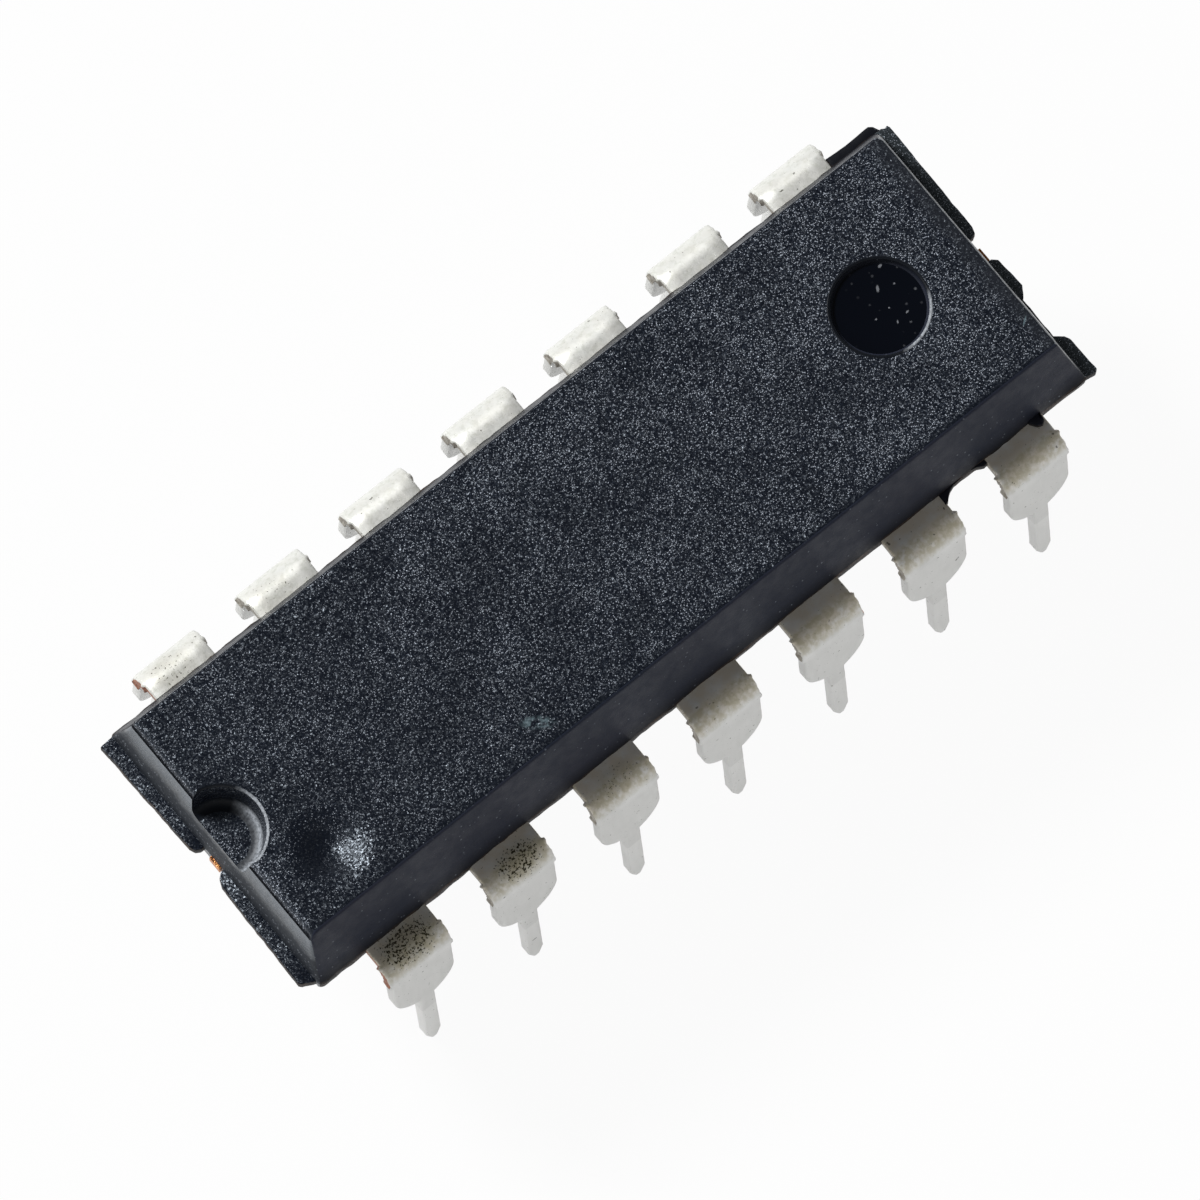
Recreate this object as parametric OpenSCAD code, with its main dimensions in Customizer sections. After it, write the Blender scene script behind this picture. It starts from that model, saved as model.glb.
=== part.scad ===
// Fourteen-lead plastic dual in-line package, standing on the tips of its leads.
// X runs from the notched end to the far end and Z is up.
// Leads 1 to 7 are on the -Y side, counted from the notch, and 8 to 14 come back along the +Y side.
// The origin lies midway between the two rows of leads, in the plane of their tips.

/* [Moulding] */
// Distance from the middle of a corner lead to the end of the moulding at its parting plane
end_margin = 1.84; // [1.60:0.01:2.20]
// Width of the moulding at its parting plane
body_w = 6.31; // [6.10:0.01:6.60]
// Height of the upper half, from the parting plane to the top face
upper_h = 1.65; // [1.40:0.01:1.90]
// Depth of the lower half, from the parting plane to the underside
lower_h = 1.65; // [1.40:0.01:1.90]
// How far the top edge is set in by the draft at the notched end
top_inset_notch = 0.22; // [0.05:0.01:0.40]
// How far the top edge is set in by the draft at the far end
top_inset_far = 0.32; // [0.05:0.01:0.40]
// How far the top edge is set in by the draft on the side of leads 1 to 7
top_inset_front = 0.54; // [0.20:0.01:0.65]
// How far the top edge is set in by the draft on the side of leads 8 to 14
top_inset_back = 0.42; // [0.20:0.01:0.65]
// How far the underside is set in at both ends
under_inset_end = 0.28; // [0.05:0.01:0.40]
// How far the underside is set in along each long side
under_inset_long = 0.50; // [0.20:0.01:0.65]
// Bevel that breaks the edges of the top face and the underside
edge_break = 0.05; // [0.02:0.01:0.12]
// Offset of the moulding from the middle of the lead rows, toward leads 8 to 14
body_shift = 0.03; // [0:0.01:0.10]

/* [End webs] */
// How far a web stands out of the moulding at its outer corners
web_reach_corner = 0.28; // [0.15:0.01:0.40]
// How far a web stands out beside the tie-bar gap
web_reach_gap = 0.21; // [0.12:0.01:0.30]
// Distance from the back of the moulding to the web at the notched end
web_inset_notch_back = 0.05; // [0.03:0.01:0.40]
// Distance from the front of the moulding to the web at the notched end
web_inset_notch_front = 0.23; // [0.03:0.01:0.40]
// Distance from the long sides of the moulding to the web at the far end
web_inset_far = 0.03; // [0.02:0.01:0.40]
// Width of the gap in the web through which a tie bar comes out
web_gap = 0.58; // [0.45:0.01:0.80]
// Size of the cut corners beside that gap
web_gap_corner = 0.12; // [0.05:0.01:0.18]
// Where the broken stretch of the far web starts, from the middle toward lead 7
web_break_near = 1.01; // [0.90:0.01:1.20]
// Where the broken stretch of the far web ends
web_break_far = 2.25; // [2.00:0.01:2.50]
// What is left of the web along the break
web_break_reach = 0.05; // [0.03:0.01:0.10]
// Slant of the broken edges
web_break_slant = 0.16; // [0.05:0.01:0.25]

/* [Marks in the moulding] */
// Radius of the half-round notch at the top face
notch_r = 0.90; // [0.70:0.01:1.10]
// Radius of the notch at its floor
notch_floor_r = 0.76; // [0.50:0.01:0.90]
// Depth of the notch
notch_depth = 0.75; // [0.50:0.01:0.90]
// Diameter of the round dimple beside lead 1
dimple_d = 1.60; // [1.20:0.01:1.80]
// Depth of the dimple
dimple_depth = 0.20; // [0.10:0.01:0.30]
// Distance from the notched top edge to the middle of the dimple
dimple_from_end = 1.42; // [1.20:0.01:1.70]
// Distance from the top edge above lead 1 to the middle of the dimple
dimple_from_side = 1.14; // [1.00:0.01:1.40]
// Diameter of the round ejector mark in the top face
ejector_d = 1.92; // [1.50:0.01:2.20]
// Depth of the ejector mark
ejector_depth = 0.12; // [0.05:0.01:0.20]
// Distance from the far top edge to the middle of the ejector mark
ejector_from_end = 2.15; // [1.60:0.01:2.60]
// Offset of the ejector mark from the middle of the top face
ejector_off = 0.10; // [0:0.01:0.30]
// Diameter of the two ejector marks in the underside
under_mark_d = 1.90; // [1.50:0.01:2.20]
// Depth of the ejector marks in the underside
under_mark_depth = 0.10; // [0.05:0.01:0.20]
// Distance of each underside mark from the middle of the moulding
under_mark_x = 6.40; // [5.50:0.01:7.00]

/* [Leads] */
// Spacing of the leads along a row
lead_spacing = 2.54; // [2.50:0.01:2.58]
// Thickness of the lead frame sheet
lead_t = 0.25; // [0.20:0.01:0.30]
// Height of the top of a lead's shoulder above its tip
lead_drop = 5.34; // [5.00:0.01:5.80]
// Mean distance from the side of the moulding to the outer face of a lead
lead_reach = 0.78; // [0.74:0.01:0.90]
// Outer radius of the bend
bend_r = 0.55; // [0.45:0.01:0.58]
// Outward splay of a lead below its bend, in degrees
splay = 4; // [0:0.1:8]
// Width of the shoulder where it leaves the moulding
shoulder_w = 1.44; // [1.20:0.01:1.50]
// Width across the stubs that the cut dam bar leaves
bar_w = 1.52; // [1.50:0.01:1.70]
// Distance from the lead's outer face back to the start of the dam-bar stubs
bar_back = 0.36; // [0.25:0.01:0.45]
// Distance from the top of the shoulder down to the end of the dam-bar stubs
bar_drop = 0.66; // [0.55:0.01:0.90]
// Radius of the round flanks that narrow a lead to its stem
flank_r = 0.90; // [0.80:0.01:1.00]
// Height above the tip at which the flanks start to narrow
flank_z = 3.55; // [3.30:0.01:3.80]
// Width of the stem
stem_w = 0.36; // [0.32:0.01:0.50]
// Width left at the pointed tip
tip_w = 0.16; // [0.10:0.01:0.24]
// Height of the pointed end of the stem
tip_h = 0.28; // [0.15:0.01:0.50]

/* [Fingers inside the moulding] */
// How far the full shoulder width goes into the moulding
finger_root = 0.30; // [0.20:0.01:0.40]
// Width of a finger at its locking neck
finger_neck_w = 0.90; // [0.70:0.01:1.10]
// Length of the locking neck
finger_neck_len = 0.25; // [0.15:0.01:0.35]
// Width of the block behind the neck, which keeps the lead from being pulled out
finger_block_w = 1.20; // [1.00:0.01:1.30]
// Length of that block
finger_block_len = 0.38; // [0.30:0.01:0.45]
// Width of a finger on its way to the die
finger_run_w = 0.50; // [0.42:0.01:0.58]
// Width of a finger at its bonding end
finger_tip_w = 0.34; // [0.30:0.01:0.38]
// Gap between the paddle and the bonding ends beside its long sides
finger_gap = 0.30; // [0.25:0.01:0.35]
// Gap between the paddle and the bonding ends beside its short sides
finger_end_gap = 0.45; // [0.30:0.01:0.60]
// Distance from the paddle's end to the bonding ends beside its long sides
finger_side_in = 0.80; // [0.60:0.01:0.95]
// Distance from the paddle's long side to the bonding ends at its corners
finger_corner_in = 0.30; // [0.20:0.01:0.40]
// Gap between a tie bar and the bonding ends beside it
finger_tie_gap = 0.19; // [0.15:0.01:0.25]
// How far the kink of a finger lies from its bonding end, across the moulding
finger_kink_out = 0.34; // [0.28:0.01:0.38]
// How far the kink of the fingers to the paddle's corners lies back along the moulding
finger_kink_corner = 1.23; // [1.10:0.01:1.30]
// How far the kink of the corner leads' fingers lies back along the moulding
finger_kink_end = 3.10; // [3.00:0.01:3.20]

/* [Paddle and die] */
// Length of the die paddle
paddle_len = 4.20; // [3.80:0.01:4.50]
// Width of the die paddle
paddle_w = 2.70; // [2.40:0.01:2.90]
// Width of the tie bars that hold the paddle in the frame
tie_w = 0.30; // [0.20:0.01:0.36]
// How far the cut end of a tie bar stands out of the moulding
tie_stub = 0.05; // [0.02:0.01:0.10]
// Length of the die
die_len = 2.20; // [1.80:0.01:2.60]
// Width of the die
die_w = 1.70; // [1.40:0.01:2.00]
// Thickness of the die
die_t = 0.35; // [0.25:0.01:0.45]
// Thickness of the die attach
attach_t = 0.03; // [0.02:0.01:0.06]
// Margin of the die attach around the die
attach_margin = 0.10; // [0.05:0.01:0.20]

/* [Bond wires] */
// Diameter of a bond wire
wire_d = 0.03; // [0.025:0.001:0.05]
// Height of a wire's loop above the straight line between its ends
wire_rise = 0.22; // [0.15:0.01:0.30]
// Diameter of the ball that joins a wire to the die
ball_d = 0.09; // [0.07:0.01:0.12]
// Height of that ball
ball_h = 0.04; // [0.03:0.01:0.06]
// Distance from the die's edge to the row of balls
pad_inset = 0.15; // [0.10:0.01:0.25]
// Distance from a bonding end back to the wire's foot on it
foot_inset = 0.15; // [0.10:0.01:0.25]
// Share of a foot's offset from the middle that its ball keeps along the die's long sides
pad_spread_long = 0.60; // [0.40:0.01:0.75]
// The same share along the die's short sides
pad_spread_end = 0.50; // [0.40:0.01:0.75]

/* [Hidden] */
$fn = 96;
wire_facets = 12;
row_leads = 7;
lead_total = 2 * row_leads;
middle_lead = (row_leads + 1) / 2;
// A small overlap where two shapes fuse, how far a cutter runs past a face, and a length past everything
eps = 0.01;
over = 1;
far = 30;
// How far a web reaches back into the moulding, and how far a wire's arc runs on past its ends, in degrees
web_root = 0.5;
wire_overrun = 2;

// Heights
lead_top = lead_drop;
lead_under = lead_top - lead_t;
body_top = lead_top + upper_h;
body_under = lead_top - lower_h;
die_top = lead_top + attach_t + die_t;

// Places along and across the moulding
body_len = (row_leads - 1) * lead_spacing + 2 * end_margin;
foot_x = body_len / 2;
foot_y = body_w / 2;
top_edge_notch = -foot_x + top_inset_notch;
top_edge_far = foot_x - top_inset_far;
top_edge_front = -foot_y + top_inset_front;
top_mid_y = (top_inset_front - top_inset_back) / 2;

// Places across a lead, measured outward from the middle of the rows
lead_out = foot_y + lead_reach;
bend_angle = 90 - splay;
bend_u = lead_out - bend_r * sin(bend_angle);
bar_u = lead_out - bar_back;
bar_z = lead_top - bar_drop;
root_u = foot_y - body_shift - finger_root;

// Places of the fingers, measured from the middle of the frame
neck_u = root_u - finger_neck_len;
block_u = neck_u - finger_block_len;
side_tip_u = paddle_w / 2 + finger_gap;
side_tip_x = paddle_len / 2 - finger_side_in;
end_tip_x = paddle_len / 2 + finger_end_gap;
end_tip_u = paddle_w / 2 - finger_corner_in;
tie_tip_u = tie_w / 2 + finger_tie_gap + finger_tip_w / 2;

// Which row and which place in the row a lead has
function front_row(i) = i <= row_leads;
function place_in_row(i) = front_row(i) ? i : lead_total + 1 - i;
function lead_x(i) = (place_in_row(i) - middle_lead) * lead_spacing;
function rank_from_middle(i) = abs(place_in_row(i) - middle_lead);

// Stations of the thin part of a finger as [x, u, width], for the half of the row on the notch side.
// The rank counts leads from the middle one, which is 0, to the corner one, which is 3.
function finger_start(rank) = [-rank * lead_spacing, block_u + finger_run_w / 2, finger_run_w];
function finger_bend(rank) =
    rank == 1 ? [-side_tip_x - finger_kink_out, side_tip_u + finger_kink_out, finger_run_w] :
    rank == 2 ? [-end_tip_x - finger_kink_corner, end_tip_u + finger_kink_out, finger_run_w] :
    [-end_tip_x - finger_kink_end, tie_tip_u + finger_kink_out, finger_run_w];
function finger_tip(rank) =
    rank == 0 ? [0, side_tip_u, finger_tip_w] :
    rank == 1 ? [-side_tip_x, side_tip_u, finger_tip_w] :
    rank == 2 ? [-end_tip_x, end_tip_u, finger_tip_w] :
    [-end_tip_x, tie_tip_u, finger_tip_w];
function finger_run(rank) = rank == 0
    ? [finger_start(rank), finger_tip(rank)]
    : [finger_start(rank), finger_bend(rank), finger_tip(rank)];

// Outline of a ribbon of changing width along its stations
function direction_at(path, k) =
    let (
        a = path[max(k - 1, 0)],
        b = path[min(k + 1, len(path) - 1)],
        d = [b[0] - a[0], b[1] - a[1]]
    ) d / norm(d);
function ribbon_side(path, k, side) =
    let (d = direction_at(path, k), w = path[k][2] / 2 * side)
    [path[k][0] - d[1] * w, path[k][1] + d[0] * w];
function ribbon(path) = concat(
    [for (k = [0:len(path) - 1]) ribbon_side(path, k, 1)],
    [for (k = [len(path) - 1:-1:0]) ribbon_side(path, k, -1)]
);

// Section of one half of the moulding, from the parting plane at 0 to its flat face at h.
// The face is set in by inset_a and inset_b at the two sides, and its edges are broken.
function half_section(a, b, inset_a, inset_b, h) = [
    [-a, 0],
    [b, 0],
    [b - inset_b * (1 - edge_break / h), h - edge_break],
    [b - inset_b - edge_break, h],
    [-a + inset_a + edge_break, h],
    [-a + inset_a * (1 - edge_break / h), h - edge_break]
];

module drafted_half(inset_notch, inset_far, inset_front, inset_back, h) {
    intersection() {
        rotate([90, 0, 0])
            linear_extrude(far, center = true)
                polygon(half_section(foot_x, foot_x, inset_notch, inset_far, h));
        rotate([90, 0, 90])
            linear_extrude(far, center = true)
                polygon(half_section(foot_y, foot_y, inset_front, inset_back, h));
    }
}

module body_halves() {
    translate([0, 0, lead_top])
        drafted_half(top_inset_notch, top_inset_far, top_inset_front, top_inset_back, upper_h);
    translate([0, 0, lead_top])
        mirror([0, 0, 1])
            drafted_half(under_inset_end, under_inset_end, under_inset_long, under_inset_long, lower_h);
}

// One piece of an end web in plan, from its outer corner to the tie-bar gap.
// It is drawn for the far end and the +Y side, with the middle of the gap at mid_y.
module web_piece(inset, mid_y) {
    outer_y = foot_y - inset;
    gap_y = mid_y + web_gap / 2;
    polygon([
        [foot_x - web_root, gap_y],
        [foot_x + web_reach_gap - web_gap_corner, gap_y],
        [foot_x + web_reach_gap, gap_y + web_gap_corner],
        [foot_x + web_reach_corner, outer_y],
        [foot_x - web_root, outer_y]
    ]);
}

// The stretch that has broken away from the far web, on the side of lead 7
module web_break() {
    polygon([
        [foot_x + web_break_reach, -web_break_near - web_break_slant],
        [foot_x + web_reach_corner + eps, -web_break_near],
        [foot_x + web_reach_corner + eps, -web_break_far],
        [foot_x + web_break_reach, -web_break_far + web_break_slant]
    ]);
}

module end_webs() {
    translate([0, 0, lead_under])
        linear_extrude(lead_t)
            union() {
                mirror([1, 0, 0]) {
                    web_piece(web_inset_notch_back, top_mid_y);
                    mirror([0, 1, 0])
                        web_piece(web_inset_notch_front, -top_mid_y);
                }
                difference() {
                    union() {
                        web_piece(web_inset_far, top_mid_y);
                        mirror([0, 1, 0])
                            web_piece(web_inset_far, -top_mid_y);
                    }
                    web_break();
                }
            }
}

module end_notch() {
    translate([top_edge_notch, top_mid_y, body_top - notch_depth])
        cylinder(r1 = notch_floor_r, r2 = notch_r, h = notch_depth);
    translate([top_edge_notch, top_mid_y, body_top - eps])
        cylinder(r = notch_r, h = over);
}

module pin_one_dimple() {
    ball_r = (dimple_d * dimple_d / 4 + dimple_depth * dimple_depth) / (2 * dimple_depth);
    translate([
        top_edge_notch + dimple_from_end,
        top_edge_front + dimple_from_side,
        body_top + ball_r - dimple_depth
    ])
        sphere(ball_r);
}

module ejector_marks() {
    translate([top_edge_far - ejector_from_end, top_mid_y + ejector_off, body_top - ejector_depth])
        cylinder(d = ejector_d, h = over);
    for (side = [-1, 1])
        translate([side * under_mark_x, 0, body_under - over])
            cylinder(d = under_mark_d, h = over + under_mark_depth);
}

// Side view of a lead outside the moulding, with x as the distance from the middle of the rows
module lead_profile() {
    translate([root_u, lead_under])
        square([bend_u - root_u, lead_t]);
    translate([bend_u, lead_top - bend_r])
        intersection() {
            difference() {
                circle(bend_r);
                circle(bend_r - lead_t);
            }
            polygon([
                [0, 0],
                [0, over],
                [over, over],
                [over * cos(splay), over * sin(splay)]
            ]);
        }
    intersection() {
        translate([bend_u, lead_top - bend_r])
            rotate(splay)
                translate([bend_r - lead_t, -far])
                    square([lead_t, far]);
        square([far, lead_top]);
    }
}

// Front view of a lead outside the moulding, with y as the height above the tips
module lead_outline() {
    translate([-bar_w / 2, bar_z])
        square([bar_w, lead_top - bar_z + eps]);
    translate([-shoulder_w / 2, flank_z])
        square([shoulder_w, bar_z - flank_z + eps]);
    intersection() {
        translate([shoulder_w / 2 - flank_r, flank_z])
            circle(flank_r);
        translate([flank_r - shoulder_w / 2, flank_z])
            circle(flank_r);
        translate([-shoulder_w, flank_z - flank_r])
            square([2 * shoulder_w, flank_r + eps]);
    }
    polygon([
        [-tip_w / 2, 0],
        [tip_w / 2, 0],
        [stem_w / 2, tip_h],
        [stem_w / 2, flank_z - flank_r / 2],
        [-stem_w / 2, flank_z - flank_r / 2],
        [-stem_w / 2, tip_h]
    ]);
}

module lead_sheet(width) {
    rotate([90, 0, 90])
        linear_extrude(width, center = true)
            lead_profile();
}

module lead_outside() {
    intersection() {
        lead_sheet(shoulder_w);
        translate([-far / 2, 0, 0])
            cube([far, bar_u, far]);
    }
    intersection() {
        lead_sheet(bar_w);
        translate([0, far + bar_u, 0])
            rotate([90, 0, 0])
                linear_extrude(far)
                    lead_outline();
    }
}

// A finger in plan, drawn for the notch side of the +Y row
module finger(rank) {
    x = -rank * lead_spacing;
    translate([0, 0, lead_under])
        linear_extrude(lead_t)
            union() {
                translate([x - shoulder_w / 2, root_u])
                    square([shoulder_w, bend_u - root_u]);
                translate([x - finger_neck_w / 2, neck_u - eps])
                    square([finger_neck_w, finger_neck_len + 2 * eps]);
                translate([x - finger_block_w / 2, block_u])
                    square([finger_block_w, finger_block_len]);
                polygon(ribbon(finger_run(rank)));
            }
}

module lead(i) {
    color([0.80, 0.80, 0.77])
        mirror([0, front_row(i) ? 1 : 0, 0])
            mirror([place_in_row(i) > middle_lead ? 1 : 0, 0, 0])
                union() {
                    translate([-rank_from_middle(i) * lead_spacing, 0, 0])
                        lead_outside();
                    finger(rank_from_middle(i));
                }
}

module die_paddle() {
    color([0.72, 0.45, 0.28])
        translate([0, 0, lead_under])
            linear_extrude(lead_t)
                union() {
                    square([paddle_len, paddle_w], center = true);
                    square([body_len + 2 * tie_stub, tie_w], center = true);
                }
}

module die_attach() {
    color([0.75, 0.75, 0.70])
        translate([0, 0, lead_top + attach_t / 2])
            cube([die_len + 2 * attach_margin, die_w + 2 * attach_margin, attach_t], center = true);
}

module silicon_die() {
    color([0.35, 0.38, 0.45])
        translate([0, 0, lead_top + attach_t + die_t / 2])
            cube([die_len, die_w, die_t], center = true);
}

// Foot of a wire on its finger and its ball on the die, for the notch side of the +Y row
function wire_foot(rank) =
    let (path = finger_run(rank), n = len(path), tip = path[n - 1], back = path[n - 2],
        d = [back[0] - tip[0], back[1] - tip[1]])
    [tip[0], tip[1]] + d / norm(d) * foot_inset;
function wire_ball(rank) =
    let (foot = wire_foot(rank), pad_x = die_len / 2 - pad_inset, pad_y = die_w / 2 - pad_inset)
    rank < 2
        ? [max(-pad_x, foot[0] * pad_spread_long), pad_y]
        : [-pad_x, min(pad_y, foot[1] * pad_spread_end)];

// A wire is an arc in an upright plane, from the ball down to the finger
module wire_arc(span, fall) {
    chord = norm([span, fall]);
    tilt = atan2(fall, span);
    arc_r = (chord * chord / 4 + wire_rise * wire_rise) / (2 * wire_rise);
    half = asin(chord / 2 / arc_r);
    rotate([90, 0, 0])
        rotate(-tilt)
            translate([chord / 2, wire_rise - arc_r])
                rotate(90 - half - wire_overrun)
                    rotate_extrude(angle = 2 * half + wire_overrun)
                        translate([arc_r, 0])
                            circle(d = wire_d, $fn = wire_facets);
}

module bond_wire(i) {
    rank = rank_from_middle(i);
    foot = wire_foot(rank);
    ball = wire_ball(rank);
    run = foot - ball;
    color([0.95, 0.75, 0.25])
        mirror([0, front_row(i) ? 1 : 0, 0])
            mirror([place_in_row(i) > middle_lead ? 1 : 0, 0, 0])
                union() {
                    translate([ball[0], ball[1], die_top])
                        cylinder(d = ball_d, h = ball_h);
                    difference() {
                        translate([ball[0], ball[1], die_top + ball_h])
                            rotate(atan2(run[1], run[0]))
                                wire_arc(norm(run), die_top + ball_h - lead_top);
                        translate([-far / 2, -far / 2, lead_top - over])
                            cube([far, far, over]);
                    }
                }
}

module moulding() {
    color([0.13, 0.14, 0.17])
        difference() {
            translate([0, body_shift, 0])
                difference() {
                    union() {
                        body_halves();
                        end_webs();
                    }
                    end_notch();
                    pin_one_dimple();
                    ejector_marks();
                }
            for (i = [1:lead_total]) {
                lead(i);
                bond_wire(i);
            }
            die_paddle();
            die_attach();
            silicon_die();
        }
}

moulding();
die_paddle();
die_attach();
silicon_die();
for (i = [1:lead_total]) {
    lead(i);
    bond_wire(i);
}
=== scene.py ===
"""Look of a fourteen-lead plastic dual in-line package: moulding, tinned leads, light and camera.

Sizes are in millimetres here and in metres in Blender. The frame is that of the CAD model: X runs
from the notched end to the far end, Z is up, and leads 1 to 7 are on the -Y side.
"""

import math

import bmesh
import bpy
from mathutils import Matrix, Vector, noise

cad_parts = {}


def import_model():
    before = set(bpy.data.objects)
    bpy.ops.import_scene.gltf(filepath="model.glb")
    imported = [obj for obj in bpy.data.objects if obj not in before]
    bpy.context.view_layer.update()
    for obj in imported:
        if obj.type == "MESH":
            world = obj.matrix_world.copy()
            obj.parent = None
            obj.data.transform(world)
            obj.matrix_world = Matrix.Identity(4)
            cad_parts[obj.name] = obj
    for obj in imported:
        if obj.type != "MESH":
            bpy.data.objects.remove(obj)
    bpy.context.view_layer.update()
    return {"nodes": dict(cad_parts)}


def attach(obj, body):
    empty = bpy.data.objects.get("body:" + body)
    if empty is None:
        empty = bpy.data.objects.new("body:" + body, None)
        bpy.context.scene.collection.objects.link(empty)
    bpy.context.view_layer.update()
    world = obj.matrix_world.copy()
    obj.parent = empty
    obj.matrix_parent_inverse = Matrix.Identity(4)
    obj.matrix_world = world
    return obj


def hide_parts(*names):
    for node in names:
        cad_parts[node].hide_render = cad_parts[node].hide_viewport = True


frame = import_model()
NODES = frame["nodes"]
MM = 0.001

# Sizes shared with the CAD source
HALF_X = 9.46
HALF_Y = 3.155
SHIFT = 0.03
TOP_MID = 0.09
Z_TOP = 6.99
Z_PART = 5.34
Z_SHEET = 5.09
Z_UNDER = 3.69
TOP_INSET = (0.22, 0.32, 0.54, 0.42)
UNDER_INSET = (0.28, 0.28, 0.50, 0.50)
PITCH = 2.54
SHEET = 0.25
LEAD_OUT = 3.935
BEND_R = 0.55
SPLAY = math.radians(4)
ROOT_U = 2.83
BAR_U = 3.575
BAR_Z = 4.68
SHOULDER_HALF = 0.72
FLANK_R = 0.90
FLANK_Z = 3.55
STEM_HALF = 0.18
TIP_HALF = 0.08
TIP_H = 0.28

# Edge of the top face at the notched end, and the middle of the ejector mark
NOTCH_EDGE = -HALF_X + TOP_INSET[0]
EJECTOR = (6.98, TOP_MID + 0.04)


def lerp(a, b, t):
    return a + (b - a) * t


def rough(x, y, z, octaves=3):
    """Fractal noise in about -1 to 1 that is the same on each run."""
    return noise.fractal(Vector((x, y, z)), 0.9, 2.1, octaves)


# Materials

class Tree:
    """Short calls that add nodes to one node tree."""

    def __init__(self, tree):
        self.tree = tree
        tree.nodes.clear()

    def set(self, node, inputs):
        for key, value in inputs.items():
            if isinstance(value, bpy.types.NodeSocket):
                self.tree.links.new(value, node.inputs[key])
            else:
                node.inputs[key].default_value = value

    def node(self, kind, props=None, inputs=None):
        node = self.tree.nodes.new("ShaderNode" + kind)
        for key, value in (props or {}).items():
            setattr(node, key, value)
        self.set(node, inputs or {})
        return node

    def math(self, kind, a, b=0.0):
        return self.node("Math", {"operation": kind}, {0: a, 1: b}).outputs[0]

    def vector(self, kind, a, b):
        return self.node("VectorMath", {"operation": kind}, {0: a, 1: b}).outputs["Vector"]

    def ramp(self, value, low, high, to_low=0.0, to_high=1.0):
        """Maps low..high to to_low..to_high and stays inside that range."""
        inputs = {0: value, 1: low, 2: high, 3: to_low, 4: to_high}
        return self.node("MapRange", {"clamp": True}, inputs).outputs[0]

    def most(self, *values):
        result = values[0]
        for value in values[1:]:
            result = self.math("MAXIMUM", result, value)
        return result

    def product(self, *values):
        result = values[0]
        for value in values[1:]:
            result = self.math("MULTIPLY", result, value)
        return result


class Shade(Tree):
    """The node tree of one material on a Principled surface."""

    def __init__(self, name, inputs):
        self.material = bpy.data.materials.new(name)
        self.material.use_nodes = True
        super().__init__(self.material.node_tree)
        self.out = self.node("OutputMaterial")
        self.surface = self.node("BsdfPrincipled", None, inputs)
        self.tree.links.new(self.surface.outputs[0], self.out.inputs[0])
        self.coords = self.node("TexCoord").outputs["Object"]
        split = self.node("SeparateXYZ", None, {0: self.coords})
        self.x, self.y, self.z = (self.math("MULTIPLY", axis, 1000.0) for axis in split.outputs)

    def noise(self, size, detail=2.0, roughness=0.5, stretch=None):
        """Noise whose features are about size millimetres across."""
        vector = self.coords
        if stretch:
            vector = self.node("Mapping", None, {"Vector": vector, "Scale": stretch}).outputs[0]
        return self.node("TexNoise", None, {"Vector": vector, "Scale": 1 / (size * MM), "Detail": detail,
                                            "Roughness": roughness}).outputs["Fac"]

    def cells(self, size):
        return self.node("TexVoronoi", None, {"Vector": self.coords, "Scale": 1 / (size * MM)})

    def dots(self, size, low, high, lift=0.0):
        """Round dots in a share of the cells, with a brightness of their own each."""
        cells = self.cells(size)
        own = self.node("SeparateXYZ", None, {0: cells.outputs["Color"]}).outputs[0]
        share = self.ramp(self.math("ADD", own, lift), low, high)
        return self.math("MULTIPLY", share, self.ramp(cells.outputs["Distance"], 0.16, 0.46, 1.0, 0.0))

    def spot(self, place, half, degrees=0.0):
        """1 inside an ellipse seen from above."""
        turned = self.node("Mapping", {"vector_type": "TEXTURE"}, {
            "Vector": self.coords, "Location": (place[0] * MM, place[1] * MM, 0),
            "Rotation": (0, 0, math.radians(degrees)), "Scale": (half[0] * MM, half[1] * MM, 1)})
        far = self.node("VectorMath", {"operation": "LENGTH"}, {0: turned.outputs[0]}).outputs["Value"]
        return self.ramp(far, 0.55, 1.0, 1.0, 0.0)

    def mix(self, factor, a, b):
        colours = [c if isinstance(c, bpy.types.NodeSocket) else (*c, 1.0) for c in (a, b)]
        made = self.node("Mix", {"data_type": "RGBA"}, {0: factor, 6: colours[0], 7: colours[1]})
        return made.outputs[2]

    def bump(self, height, depth):
        """Bump from a height in 0 to 1 that stands for depth millimetres."""
        return self.node("Bump", None, {"Height": height, "Distance": depth * MM}).outputs[0]

    def facets(self, size, tilt, normal):
        """Facets about size millimetres across, each leaning its own way."""
        lean = self.vector("SUBTRACT", self.cells(size).outputs["Color"], (0.5, 0.5, 0.5))
        lean = self.vector("MULTIPLY", lean, (tilt, tilt, tilt))
        return self.vector("NORMALIZE", self.vector("ADD", normal, lean), (0, 0, 0))

    def finish(self, colour, gloss, normal):
        self.set(self.surface, {"Base Color": colour, "Roughness": gloss, "Normal": normal})
        return self.material


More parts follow.
